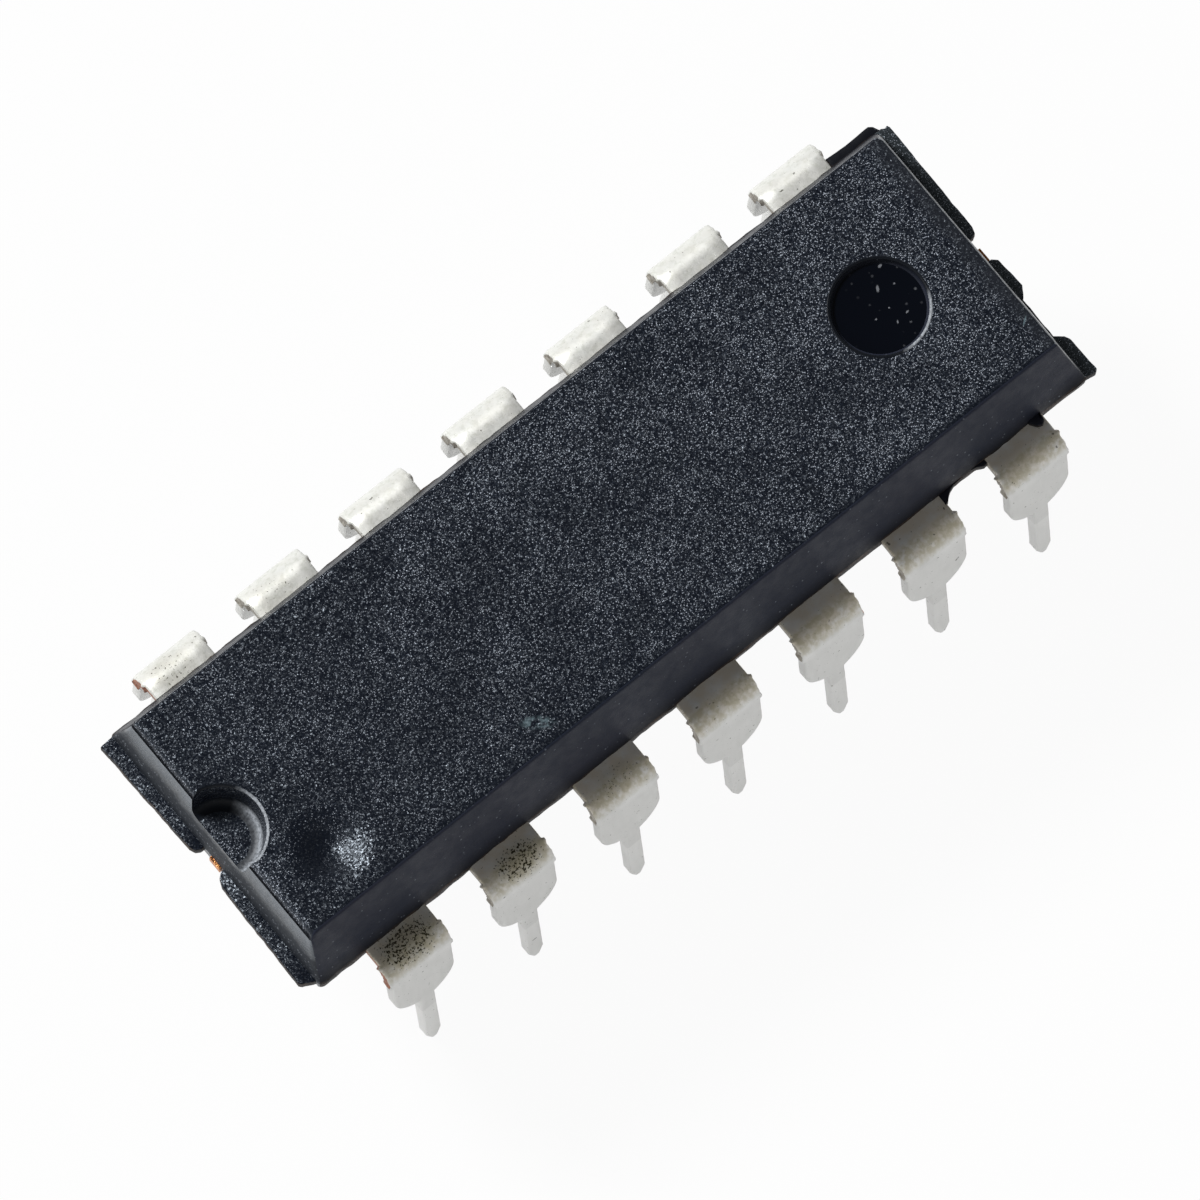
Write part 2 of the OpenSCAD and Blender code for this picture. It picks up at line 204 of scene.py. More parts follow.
def epoxy_rough(name, top):
    """Spark-eroded face: near black with dense fine glints, partly from leaning facets and partly painted
    as light specks. The top face also has margins and marks.
    """
    s = Shade(name, {"Specular IOR Level": 0.62, "Specular Tint": (0.80, 0.90, 1.0, 1.0)})
    patches = s.noise(1.4, 3.0)
    lift = s.ramp(patches, 0.3, 0.7, -0.16, 0.16)
    lift = s.math("ADD", lift, s.ramp(s.x, -9.0, 9.0, -0.15, 0.11))
    if top:
        # painted highlight: more painted glints along the notched end's edge, where the rounded edge faces
        # the light
        lift = s.math("ADD", lift, s.ramp(s.x, NOTCH_EDGE + 0.05, NOTCH_EDGE + 0.30, 0.28, 0.0))
    # painted glints: light dots in the base colour that stand for the glints of the spark-eroded grain
    painted_glints = s.dots(0.031, 0.42, 1.04, lift)
    # the dust dots here are dimmer painted glints of the grain, between the bright ones
    dust = s.dots(0.030, 0.30, 1.0, lift)
    base = s.mix(patches, (0.0012, 0.0022, 0.0065), (0.0042, 0.0065, 0.0135))
    if top:
        ragged = s.math("MULTIPLY", s.math("SUBTRACT", s.noise(0.4, 2.0), 0.5), 0.35)
        far = s.math("SUBTRACT", HALF_X - TOP_INSET[1], s.x)
        front = s.math("ADD", s.y, HALF_Y - TOP_INSET[2] - SHIFT)
        far_margin = s.ramp(s.math("ADD", far, ragged), 0.12, 0.42, 1.0, 0.0)
        front_margin = s.ramp(s.math("ADD", front, s.math("MULTIPLY", ragged, 0.3)), 0.08, 0.20, 1.0, 0.0)
        calm = s.math("SUBTRACT", 1.0, s.most(far_margin, front_margin))
        # painted shade: fewer glints and dust on the dark side of the dimple and in the shadow that the
        # notch wall casts
        painted_shade = s.most(s.spot((-8.12, -1.28), (0.62, 0.42), 40), s.spot((-8.84, 0.58), (0.88, 0.56), -39))
        calm = s.math("MULTIPLY", calm, s.ramp(painted_shade, 0.0, 1.0, 1.0, 0.14))
        painted_glints = s.math("MULTIPLY", painted_glints, calm)
        dust = s.math("MULTIPLY", dust, calm)
        base = s.mix(far_margin, base, (0.015, 0.017, 0.023))
        broken = s.ramp(s.noise(0.09), 0.42, 0.62)
        scuff = s.math("MULTIPLY", s.spot((-3.245, -2.08), (0.40, 0.15), -39), broken)
        scratch = s.spot((8.95, -1.83), (0.12, 0.022), 36)
        base = s.mix(s.most(scuff, scratch), base, (0.12, 0.17, 0.19))
    base = s.mix(dust, base, (0.038, 0.049, 0.073))
    if not top:
        painted_glints = s.math("MULTIPLY", painted_glints, 0.5)
        # painted light: the webs past x 9.0 mm are lighter, as if lit from the far end
        base = s.mix(s.ramp(s.x, 9.0, 9.3), base, (0.026, 0.032, 0.036))
    base = s.mix(painted_glints, base, (0.66, 0.72, 0.82))
    normal = s.facets(0.028, 0.34, s.bump(s.noise(0.10, 3.0, 0.6), 0.008))
    return s.finish(base, s.ramp(s.noise(0.06, 1.0), 0.35, 0.65, 0.27, 0.35), normal)


def epoxy_side():
    """Drafted long sides of the moulding: smooth and blue-grey, with a little dust, and with painted shade
    near the parting line and on the back side.
    """
    s = Shade("epoxy_side", {"Specular IOR Level": 0.10})
    base = s.mix(s.noise(1.6, 3.0), (0.017, 0.024, 0.041), (0.034, 0.036, 0.054))
    # painted shade: darker near the parting line, above the leads
    base = s.mix(s.ramp(s.z, Z_PART + 0.02, Z_PART + 0.40, 0.7, 0.0), base, (0.008, 0.008, 0.009))
    # painted shade: the back side (+Y) is darker than the front
    base = s.mix(s.ramp(s.y, -0.5, 0.5, 0.0, 0.7), base, (0.009, 0.010, 0.013))
    base = s.mix(s.dots(0.055, 0.968, 0.99), base, (0.16, 0.18, 0.21))
    height = s.math("ADD", s.noise(0.14, 3.0, 0.6), s.math("MULTIPLY", s.noise(0.035, 1.0), 0.3))
    return s.finish(base, s.ramp(s.noise(0.25, 2.0), 0.35, 0.65, 0.34, 0.48), s.bump(height, 0.005))


def epoxy_end():
    """Drafted ends of the moulding: smoother than its sides near the top, and rough lower down. The light
    band near the top of the notched end is a painted reflection, and its specks are painted glints.
    """
    s = Shade("epoxy_end", {"Specular IOR Level": 0.55, "Specular Tint": (0.78, 0.89, 1.0, 1.0)})
    uneven = s.math("ADD", s.z, s.ramp(s.noise(0.5, 3.0), 0.3, 0.7, -0.12, 0.12))
    low = s.math("MULTIPLY", s.ramp(uneven, 6.20, 5.95), s.ramp(s.x, 1.0, -1.0))
    base = s.mix(s.noise(0.5, 3.0), (0.009, 0.011, 0.015), (0.020, 0.024, 0.030))
    # painted reflection: a light blue-grey band near the top of the notched end
    painted_reflection = s.math("MULTIPLY", s.ramp(uneven, 6.10, 6.75), s.ramp(s.x, 1.0, -1.0))
    base = s.mix(painted_reflection, base, (0.068, 0.086, 0.108))
    base = s.mix(low, base, (0.004, 0.005, 0.009))
    # painted glints, more of them lower down
    painted_glints = s.math("MULTIPLY", s.dots(0.055, 0.60, 1.0), s.ramp(low, 0.0, 1.0, 0.25, 1.0))
    base = s.mix(painted_glints, base, (0.26, 0.28, 0.32))
    height = s.noise(0.09, 3.0, 0.6)
    gloss = s.math("ADD", s.ramp(height, 0.35, 0.65, 0.24, 0.34), s.math("MULTIPLY", low, 0.40))
    return s.finish(base, gloss, s.bump(height, 0.004))


def epoxy_glossy():
    """Floor of the ejector marks: almost a mirror, with dust on it."""
    s = Shade("epoxy_glossy", {"Specular IOR Level": 0.25})
    dust = s.most(
        s.spot((7.20, 0.46), (0.085, 0.035), 58),
        s.spot((7.52, 0.78), (0.055, 0.035), 10),
        s.spot((7.51, 0.34), (0.026, 0.022)),
        s.spot((7.13, 0.03), (0.022, 0.022)),
        s.spot((6.79, 0.01), (0.028, 0.022)),
        s.spot((7.08, -0.29), (0.045, 0.018), 58),
        s.spot((7.35, -0.25), (0.045, 0.022), 10),
    )
    dust = s.most(dust, s.math("MULTIPLY", s.dots(0.08, 0.94, 0.99), 0.45))
    base = s.mix(dust, (0.0022, 0.0032, 0.0065), (0.18, 0.19, 0.21))
    return s.finish(base, s.ramp(dust, 0.0, 1.0, 0.14, 0.6), s.bump(s.noise(0.5, 2.0), 0.003))


def epoxy_painted_highlight():
    """Rounded edges of the notch and the burr round the ejector mark, with a painted highlight on the side
    that faces the lamp.
    """
    s = Shade("epoxy_painted_highlight", {"Specular IOR Level": 0.16})
    height = s.noise(0.06, 3.0, 0.6)
    # painted highlight on the notch's edges and the ejector burr, where they face the lamp
    lit = s.most(s.spot((-8.78, -0.30), (1.15, 0.55), 50), s.spot((7.47, -0.72), (1.0, 0.36), 30))
    low_band = s.math("MULTIPLY", s.ramp(s.z, 6.238, 6.290, 0.15, 1.0), s.ramp(s.z, 6.32, 6.43, 1.0, 0.10))
    bands = s.most(low_band, s.ramp(s.z, 6.86, 6.93))
    lit = s.product(lit, bands, s.ramp(height, 0.30, 0.60, 0.30, 1.0))
    base = s.mix(lit, (0.006, 0.008, 0.012), (0.42, 0.45, 0.49))
    return s.finish(base, s.ramp(height, 0.3, 0.7, 0.34, 0.46), s.bump(height, 0.004))


def epoxy_flash():
    """Thin resin at the parting line, where it turns brown."""
    s = Shade("epoxy_flash", {"Specular IOR Level": 0.25})
    tone = s.ramp(s.noise(0.30, 3.0), 0.42, 0.68)
    height = s.noise(0.05, 3.0, 0.7)
    base = s.mix(tone, (0.010, 0.009, 0.010), (0.052, 0.034, 0.025))
    return s.finish(base, s.ramp(height, 0.3, 0.7, 0.45, 0.7), s.bump(height, 0.012))


def tinned_lead():
    """Dull tin plating with scuffs, dirt on the shoulders near lead 1, painted light on the back row and a
    lighter lower end.
    """
    s = Shade("tinned_lead", {"Metallic": 0.45, "Specular IOR Level": 0.3})
    front = s.ramp(s.y, 0.5, -0.5)
    cloudy = s.noise(0.45, 4.0, 0.6)
    streaks = s.noise(0.10, 3.0, 0.6, (1.0, 1.0, 0.2))
    base = s.mix(s.ramp(cloudy, 0.3, 0.7), (0.72, 0.72, 0.70), (0.84, 0.84, 0.82))
    # painted light: the back row (+Y) is lighter and cooler, as if lit
    base = s.mix(s.math("MULTIPLY", s.ramp(s.y, 0.5, 1.0), 0.75), base, (0.85, 0.86, 0.82))
    mottled = s.product(s.ramp(s.y, 0.5, 1.0), s.ramp(s.noise(0.13, 4.0, 0.7), 0.48, 0.64), 0.45)
    base = s.mix(mottled, base, (0.58, 0.60, 0.53))
    base = s.mix(s.ramp(s.z, 4.9, 4.5, 0.0, 0.8), base, (0.74, 0.74, 0.72))
    warm = s.product(
        s.ramp(s.z, 4.95, 5.25),
        s.ramp(s.noise(0.3, 3.0), 0.25, 0.60),
        s.ramp(front, 0.0, 1.0, 0.15, 0.8),
    )
    base = s.mix(warm, base, (0.70, 0.63, 0.52))
    bend = s.product(
        front,
        s.ramp(s.z, 4.86, 5.16),
        s.ramp(s.z, 5.325, 5.339, 1.0, 0.0),
        s.ramp(streaks, 0.35, 0.6),
    )
    base = s.mix(s.math("MULTIPLY", bend, 0.7), base, (0.50, 0.46, 0.32))
    # lighter below about 2 mm
    lighter_lower_end = s.ramp(s.z, 1.96, 2.02)
    base = s.mix(lighter_lower_end, (0.82, 0.82, 0.80), base)
    heavy = s.most(
        s.spot((-7.62, -3.50), (0.80, 0.46)),
        s.math("MULTIPLY", s.spot((-4.95, -3.60), (0.62, 0.40)), 0.95),
        s.math("MULTIPLY", s.spot((-7.75, 3.50), (0.60, 0.42)), 0.42),
        s.math("MULTIPLY", s.spot((-5.3, 3.45), (0.60, 0.35)), 0.30),
        s.math("MULTIPLY", s.spot((-2.5, -3.55), (0.60, 0.30)), 0.45),
    )
    heavy = s.math("MULTIPLY", heavy, s.ramp(s.z, 4.7, 5.1))
    grit = s.math("ADD", s.noise(0.048, 2.0, 0.65), s.math("MULTIPLY", heavy, 0.20))
    few = s.ramp(s.noise(0.11, 1.0), 0.745, 0.78)
    dirt = s.most(s.ramp(grit, 0.70, 0.76), s.math("MULTIPLY", few, 0.7))
    stain = s.math("MULTIPLY", heavy, 0.5)
    base = s.mix(stain, base, (0.34, 0.31, 0.20))
    base = s.mix(dirt, base, (0.045, 0.038, 0.018))
    gloss = s.math("ADD", s.ramp(streaks, 0.3, 0.7, 0.42, 0.56), s.math("MULTIPLY", dirt, 0.3))
    return s.finish(base, gloss, s.bump(s.math("ADD", cloudy, s.math("MULTIPLY", streaks, 0.3)), 0.006))


def metal(name, low, high, gloss, grain, depth, metallic=1.0):
    """Plain metal or silicon with a fine grain."""
    s = Shade(name, {"Metallic": metallic})
    tone = s.ramp(s.noise(grain, 3.0, 0.6), 0.35, 0.65)
    roughness = s.ramp(tone, 0.0, 1.0, gloss, gloss + 0.15)
    return s.finish(s.mix(tone, low, high), roughness, s.bump(tone, depth))


ROUGH, SIDE, GLOSSY, FLASH, END, CREASE, WEB, EDGE, PAINTED_HIGHLIGHT = range(9)
EPOXY = [
    epoxy_rough("epoxy_top", True),
    epoxy_side(),
    epoxy_glossy(),
    epoxy_flash(),
    epoxy_end(),
    metal("epoxy_crease", (0.005, 0.006, 0.009), (0.020, 0.023, 0.030), 0.5, 0.05, 0.002, 0.0),
    epoxy_rough("epoxy_rough", False),
    # painted highlight: lighter epoxy for the bright line along the rounded far and back top edges
    metal("epoxy_painted_edge_highlight", (0.09, 0.10, 0.11), (0.30, 0.32, 0.34), 0.30, 0.15, 0.003, 0.0),
    epoxy_painted_highlight(),
]
TIN = tinned_lead()
CUT = metal("cut_edge", (0.22, 0.19, 0.15), (0.56, 0.53, 0.47), 0.45, 0.12, 0.008, 0.7)
COPPER = metal("bare_copper", (0.42, 0.16, 0.06), (0.76, 0.35, 0.13), 0.32, 0.08, 0.010)
RED_COPPER = metal("dull_copper", (0.20, 0.08, 0.05), (0.48, 0.24, 0.16), 0.42, 0.08, 0.010)
SILICON = metal("silicon", (0.10, 0.11, 0.15), (0.16, 0.17, 0.21), 0.12, 0.2, 0.001, 0.6)
ATTACH = metal("die_attach", (0.42, 0.42, 0.41), (0.58, 0.58, 0.56), 0.5, 0.03, 0.002, 0.4)
GOLD = metal("gold_wire", (0.85, 0.60, 0.20), (0.95, 0.72, 0.30), 0.25, 0.02, 0.001)


# Mesh helpers

def new_object(name, verts, faces, materials, indices):
    mesh = bpy.data.meshes.new(name)
    mesh.from_pydata([tuple(c * MM for c in v) for v in verts], [], faces)
    for material in materials:
        mesh.materials.append(material)
    mesh.polygons.foreach_set("material_index", indices)
    mesh.update()
    bm = bmesh.new()
    bm.from_mesh(mesh)
    bmesh.ops.recalc_face_normals(bm, faces=bm.faces)
    bm.to_mesh(mesh)
    bm.free()
    obj = bpy.data.objects.new(name, mesh)
    bpy.context.scene.collection.objects.link(obj)
    return obj


def smooth(obj, degrees):
    obj.data.polygons.foreach_set("use_smooth", [True] * len(obj.data.polygons))
    obj.data.set_sharp_from_angle(angle=math.radians(degrees))


def apply_modifiers(obj):
    bpy.context.view_layer.update()
    mesh = bpy.data.meshes.new_from_object(obj.evaluated_get(bpy.context.evaluated_depsgraph_get()))
    old = obj.data
    obj.modifiers.clear()
    obj.data = mesh
    mesh.name = obj.name
    bpy.data.meshes.remove(old)


def tube_faces(rings, count):
    """Quads between rings of the same count of points."""
    for j in range(rings - 1):
        for k in range(count):
            n = (k + 1) % count
            yield j, k, (j * count + k, j * count + n, (j + 1) * count + n, (j + 1) * count + k)


def revolve(profile, cx, cy, z0, segments=96):
    """Closed solid turned from (radius, height, material) points that start and end on the axis."""
    inner = profile[1:-1]
    verts = []
    for r, z, _ in inner:
        for k in range(segments):
            a = 2 * math.pi * k / segments
            verts.append((cx + r * math.cos(a), cy + r * math.sin(a), z0 + z))
    faces, indices = [], []
    for j, k, face in tube_faces(len(inner), segments):
        faces.append(face)
        indices.append(inner[j + 1][2])
    low, high = len(verts), len(verts) + 1
    verts += [(cx, cy, z0 + profile[0][1]), (cx, cy, z0 + profile[-1][1])]
    last = (len(inner) - 1) * segments
    for k in range(segments):
        n = (k + 1) % segments
        faces += [(low, n, k), (high, last + k, last + n)]
        indices += [inner[0][2], profile[-1][2]]
    return verts, faces, indices


# Moulding

CORNER_STEPS = 6
LONG_STEPS = 150
SHORT_STEPS = 40
SLAB_STEP = 0.05


def ring(inset, height, corners, wobble=None):
    """Points round the moulding.

    inset and height are for the notched end, the far end, the front and the back. wobble gives how far a
    point of the long sides is pushed out and lifted.
    """
    near, far, front, back = height
    x0, x1 = -HALF_X + inset[0], HALF_X - inset[1]
    y0, y1 = -HALF_Y + inset[2], HALF_Y - inset[3]
    points = []

    def arc(cx, cy, radius, start, za, zb):
        for k in range(CORNER_STEPS + 1):
            a = math.radians(start + 90 * k / CORNER_STEPS)
            nx, ny = math.cos(a), math.sin(a)
            points.append((cx + radius * nx, cy + radius * ny, lerp(za, zb, k / CORNER_STEPS), nx, ny))

    def side(a, b, steps, normal, z):
        for k in range(1, steps):
            points.append((lerp(a[0], b[0], k / steps), lerp(a[1], b[1], k / steps), z, *normal))

    ra, rb, rc, rd = corners
    arc(x0 + ra, y0 + ra, ra, 180, near, front)
    side((x0 + ra, y0), (x1 - rb, y0), LONG_STEPS, (0, -1), front)
    arc(x1 - rb, y0 + rb, rb, 270, front, far)
    side((x1, y0 + rb), (x1, y1 - rc), SHORT_STEPS, (1, 0), far)
    arc(x1 - rc, y1 - rc, rc, 0, far, back)
    side((x1 - rc, y1), (x0 + rd, y1), LONG_STEPS, (0, 1), back)
    arc(x0 + rd, y1 - rd, rd, 90, back, near)
    side((x0, y1 - rd), (x0, y0 + ra), SHORT_STEPS, (-1, 0), near)
    out = []
    for x, y, z, nx, ny in points:
        push, lift = wobble(x, y) if wobble and abs(ny) > 0.5 else (0.0, 0.0)
        out.append((x + nx * push, y + ny * push + SHIFT, z + lift))
    return out


def rounded_rings(inset, extra, z_face, radii, steps, sign):
    """Rings over a rounded edge, from the flat face to the drafted sides."""
    depth = abs(z_face - Z_PART)
    rings = []
    for k in range(steps + 1):
        t = k / steps
        a, b, c = (1 - t) ** 2, 2 * t * (1 - t), t * t
        insets = [e + a * (i + r) + b * i + c * i * (1 - r / depth) for i, e, r in zip(inset, extra, radii)]
        rings.append((insets, [z_face - sign * c * r for r in radii]))
    return rings


def flash_wobble(reach, seed):
    """Uneven reach of the flash along the parting line."""
    def wobble(x, y):
        value = 0.4 + 0.5 * rough(x * 0.9, y * 0.9, seed) + 0.35 * rough(x * 4.0, y * 4.0, seed + 5)
        return reach * max(0.0, value), 0.012 * rough(x * 2.0, y * 2.0, seed + 9)
    return wobble


def fillet(cx, cz, radius, start, stop, steps, material):
    """Arc of a cutter's profile, with its angles in degrees."""
    angles = [math.radians(lerp(start, stop, k / steps)) for k in range(steps + 1)]
    return [(cx + radius * math.cos(a), cz + radius * math.sin(a), material) for a in angles]


def cutters():
    """The notch, the dimple and the ejector marks as one mesh that is taken out of the moulding."""
    # the lip and the floor fillet of the notch, and the burr of the ejector mark, take the painted
    # highlight material
    lip = fillet(0.925, -0.055, 0.055, 172, 90, 5, PAINTED_HIGHLIGHT)
    notch = [(0, -0.75, ROUGH), (0.56, -0.75, ROUGH), *fillet(0.60, -0.55, 0.20, -90, -8, 8, PAINTED_HIGHLIGHT),
             (*lip[0][:2], ROUGH), *lip[1:], (0.97, 0.004, ROUGH), (0.97, 0.6, ROUGH), (0, 0.6, ROUGH)]
    dimple = [(0, -0.20, ROUGH)]
    for k in range(1, 15):
        r = 0.86 * k / 14
        dimple.append((r, -0.20 * (0.5 + 0.5 * math.cos(math.pi * r / 0.88)), ROUGH))
    dimple += [(0.92, 0.008, ROUGH), (0.92, 0.6, ROUGH), (0, 0.6, ROUGH)]
    ejector = [(0, -0.12, GLOSSY), (0.90, -0.12, GLOSSY), (0.930, -0.114, SIDE), (0.946, -0.09, SIDE),
               (0.952, -0.03, SIDE), (0.962, -0.006, PAINTED_HIGHLIGHT), (0.980, 0.004, PAINTED_HIGHLIGHT), (0.980, 0.6, PAINTED_HIGHLIGHT),
               (0, 0.6, PAINTED_HIGHLIGHT)]
    mark = [(0, 0.10, GLOSSY), (0.92, 0.10, GLOSSY), (0.95, 0.08, WEB), (0.95, 0.01, WEB),
            (0.97, -0.01, WEB), (0.97, -0.6, WEB), (0, -0.6, WEB)]
    verts, faces, indices = [], [], []
    for profile, x, y, z in (
        (notch, NOTCH_EDGE, TOP_MID, Z_TOP),
        (dimple, -7.82, TOP_MID - 1.535, Z_TOP),
        (ejector, *EJECTOR, Z_TOP),
        (mark, -6.40, SHIFT, Z_UNDER),
        (mark, 6.40, SHIFT, Z_UNDER),
    ):
        v, f, i = revolve(profile, x, y, z)
        faces += [tuple(k + len(verts) for k in face) for face in f]
        verts += v
        indices += i
    return new_object("cutter", verts, faces, EPOXY, indices)


def moulding():
    """The body. Each band of faces has a material for the notched end, the far end, the front and back."""
    drafted = (END, END, SIDE, SIDE)
    top_corners = (0.05, 0.05, 0.15, 0.06)
    body_corners = (0.14, 0.08, 0.12, 0.08)
    rings, kinds = [], []
    top_rings = rounded_rings(TOP_INSET, (0.045, 0, 0, -0.02), Z_TOP, (0.14, 0.05, 0.06, 0.05), 6, 1)
    for step, (inset, height) in enumerate(top_rings):
        rings.append(ring(inset, height, top_corners))
        # EDGE puts a painted highlight on part of the rounded far and back top edges
        kinds.append((ROUGH, EDGE if 2 <= step <= 4 else END, SIDE, EDGE if step == 3 else SIDE))
    kinds[0] = (ROUGH, ROUGH, ROUGH, ROUGH)
    kinds[-1] = (CREASE, END, SIDE, SIDE)
    depth = Z_TOP - Z_PART
    for extra, drop, drop_rest, kind in (
        (0.022, 0.20, 0.12, (CREASE, END, SIDE, SIDE)),
        (0.004, 0.155, 0.17, drafted),
    ):
        drops = (drop, drop_rest, drop_rest, drop_rest)
        inset = [i * (1 - d / depth) for i, d in zip(TOP_INSET, drops)]
        inset[0] += extra
        rings.append(ring(inset, [Z_TOP - d for d in drops], top_corners))
        kinds.append(kind)
    for t in (0.33, 0.66):
        inset = [i * (1 - t) for i in TOP_INSET]
        rings.append(ring(inset, [lerp(Z_TOP, Z_PART, t)] * 4, body_corners))
        kinds.append(drafted)
    for height, wobble, kind in (
        (Z_PART + 0.03, None, (WEB, WEB, FLASH, FLASH)),
        (Z_PART, flash_wobble(0.045, 1.0), (WEB, WEB, FLASH, FLASH)),
        (Z_SHEET + 0.02, flash_wobble(0.045, 2.0), (WEB, WEB, FLASH, FLASH)),
        (Z_SHEET - 0.02, None, drafted),
    ):
        rings.append(ring((0, 0, 0, 0), [height] * 4, body_corners, wobble))
        kinds.append(kind)
    under_rings = rounded_rings(UNDER_INSET, (0, 0, 0, 0), Z_UNDER, (0.06, 0.06, 0.06, 0.06), 4, -1)
    for inset, height in reversed(under_rings):
        rings.append(ring(inset, height, body_corners))
        kinds.append(drafted)
    kinds[-2] = (WEB, WEB, WEB, WEB)
    count = len(rings[0])
    verts = [p for r in rings for p in r]
    faces, indices = [], []
    long_start = CORNER_STEPS // 2
    for j, k, face in tube_faces(len(rings), count):
        far_start = long_start + LONG_STEPS + CORNER_STEPS
        back_start = far_start + SHORT_STEPS + CORNER_STEPS
        near_start = back_start + LONG_STEPS + CORNER_STEPS
        if long_start <= k < far_start:
            part = 2
        elif far_start <= k < back_start:
            part = 1
        elif back_start <= k < near_start:
            part = 3
        else:
            part = 0
        faces.append(face)
        indices.append(kinds[j][part])
    last = (len(rings) - 1) * count
    faces += [tuple(range(count)), tuple(last + k for k in range(count))]
    indices += [ROUGH, WEB]
    body = new_object("moulded_body", verts, faces, EPOXY, indices)
    cutter = cutters()
    cut = body.modifiers.new("cut", "BOOLEAN")
    cut.operation = "DIFFERENCE"
    cut.solver = "EXACT"
    cut.object = cutter
    apply_modifiers(body)
    bpy.data.objects.remove(cutter)
    smooth(body, 38)
    weigh = body.modifiers.new("weigh", "WEIGHTED_NORMAL")
    weigh.keep_sharp = True
    weigh.weight = 90
    apply_modifiers(body)
    return body


def slab(name, outline, z0, z1, wobble, seed, edge, face_kind):
    """Thin plate of resin from an outline, with its edge broken up finely and its rim rounded."""
    turn = sum(a[0] * b[1] - b[0] * a[1] for a, b in zip(outline, outline[1:] + outline[:1]))
    if turn < 0:
        outline = outline[::-1]
    fine = []
    for a, b in zip(outline, outline[1:] + outline[:1]):
        run = math.dist(a, b)
        n = max(1, round(run / SLAB_STEP))
        for j in range(n):
            x, y = lerp(a[0], b[0], j / n), lerp(a[1], b[1], j / n)
            push = wobble * rough(x * 3.0, y * 3.0, seed, 4)
            fine.append((x, y, (b[1] - a[1]) / run, (a[0] - b[0]) / run, push))
    levels = ((edge, z1), (0.3 * edge, z1 - 0.3 * edge), (0.0, z1 - edge), (0.0, z0 + edge), (edge, z0))
    verts = []
    for inset, z in levels:
        verts += [(x + nx * (push - inset), y + ny * (push - inset), z) for x, y, nx, ny, push in fine]
    count = len(fine)
    faces, indices = [], []
    for j, k, face in tube_faces(len(levels), count):
        faces.append(face)
        indices.append(FLASH if j > 0 else face_kind)
    last = (len(levels) - 1) * count
    faces += [tuple(range(count)), tuple(last + k for k in range(count))]
    indices += [face_kind, WEB]
    obj = new_object(name, verts, faces, EPOXY, indices)
    smooth(obj, 40)
    return obj


def resin_pieces():
    """End webs, flash and nubs of resin at the parting line, with y from the middle of the top face."""
    x0, x1 = HALF_X - 0.2, HALF_X
    near_back = [(-x0, 0.28), (-x1 - 0.08, 0.28), (-x1 - 0.17, 0.34), (-x1 - 0.22, 0.46), (-9.744, 3.055),
                 (-9.46, 3.08), (-x0, 3.0)]
    near_front = [(-x0, -0.30), (-x1 - 0.05, -0.30), (-x1 - 0.15, -0.38), (-x1 - 0.22, -0.52),
                  (-9.750, -2.93), (-9.70, -2.99), (-9.46, -3.10), (-x0, -3.0)]
    far_back = [(x0, 0.30), (x1 + 0.09, 0.30), (x1 + 0.17, 0.35), (x1 + 0.21, 0.48), (9.71, 3.02),
                (9.68, 3.08), (9.62, 3.06), (9.55, 3.10), (x0, 3.1)]
    far_front = [(x0, -0.25), (x1 + 0.08, -0.25), (x1 + 0.18, -0.34), (x1 + 0.22, -1.02),
                 (x1 + 0.14, -1.14), (x1 + 0.04, -1.26), (x1 + 0.03, -2.18), (x1 + 0.20, -2.31),
                 (x1 + 0.25, -2.42), (9.72, -3.20), (9.66, -3.24), (9.40, -3.20), (x0, -3.1)]
    back_flash = [(8.34, 3.00), (8.345, 3.30), (8.50, 3.29), (8.81, 3.27), (9.14, 3.285), (9.38, 3.29),
                  (9.46, 3.23), (9.52, 3.10), (9.30, 3.05)]
    lead_6_flash = [(5.77, -3.14), (5.77, -3.46), (5.85, -3.43), (5.925, -3.36), (6.02, -3.29),
                    (6.134, -3.245), (6.55, -3.225), (6.70, -3.255), (6.83, -3.33), (6.92, -3.32),
                    (6.92, -3.14)]
    lead_7_nub = [(8.03, -3.14), (8.00, -3.24), (8.10, -3.39), (8.20, -3.43), (8.30, -3.35), (8.32, -3.14)]
    pieces = []
    for name, outline, z0, z1, wobble in (
        ("end_web_1", near_back, Z_SHEET, Z_PART + 0.005, 0.018),
        ("end_web_2", near_front, Z_SHEET, Z_PART + 0.005, 0.018),
        ("end_web_3", far_back, Z_SHEET, Z_PART + 0.005, 0.010),
        ("end_web_4", far_front, Z_SHEET, Z_PART + 0.005, 0.012),
        ("flash_by_lead_8", back_flash, Z_SHEET + 0.02, Z_PART, 0.006),
        ("flash_by_lead_6", lead_6_flash, Z_SHEET + 0.02, Z_PART, 0.012),
        ("nub_on_lead_7", lead_7_nub, Z_PART - 0.03, Z_PART + 0.09, 0.015),
    ):
        placed = [(x, y + TOP_MID) for x, y in outline]
        edge = 0.05 if name.startswith("nub") else 0.02
        kind = WEB if name.startswith("end_web") else SIDE
        pieces.append(slab(name, placed, z0, z1, wobble, 3.1 * len(pieces), edge, kind))
    return pieces


def ejector_rim():
    """Low burr that the ejector pin has pushed up round its mark."""
    profile = [(1.014, -0.002), (1.008, 0.008), (0.999, 0.011), (0.982, 0.007), (0.966, 0.000),
               (0.954, -0.009)]
    segments = 128
    verts = []
    for r, z in profile:
        for k in range(segments):
            a = 2 * math.pi * k / segments
            grow = 1 + 0.35 * rough(3 * math.cos(a), 3 * math.sin(a), 4.0) if z > 0 else 1
            verts.append((EJECTOR[0] + r * math.cos(a), EJECTOR[1] + r * math.sin(a), Z_TOP + z * grow))
    faces = [face for _, _, face in tube_faces(len(profile), segments)]
    # the burr takes the painted highlight material
    obj = new_object("ejector_mark_rim", verts, faces, EPOXY, [PAINTED_HIGHLIGHT] * len(faces))
    smooth(obj, 60)
    return obj


# Leads

BEND_U = LEAD_OUT - BEND_R * math.cos(SPLAY)


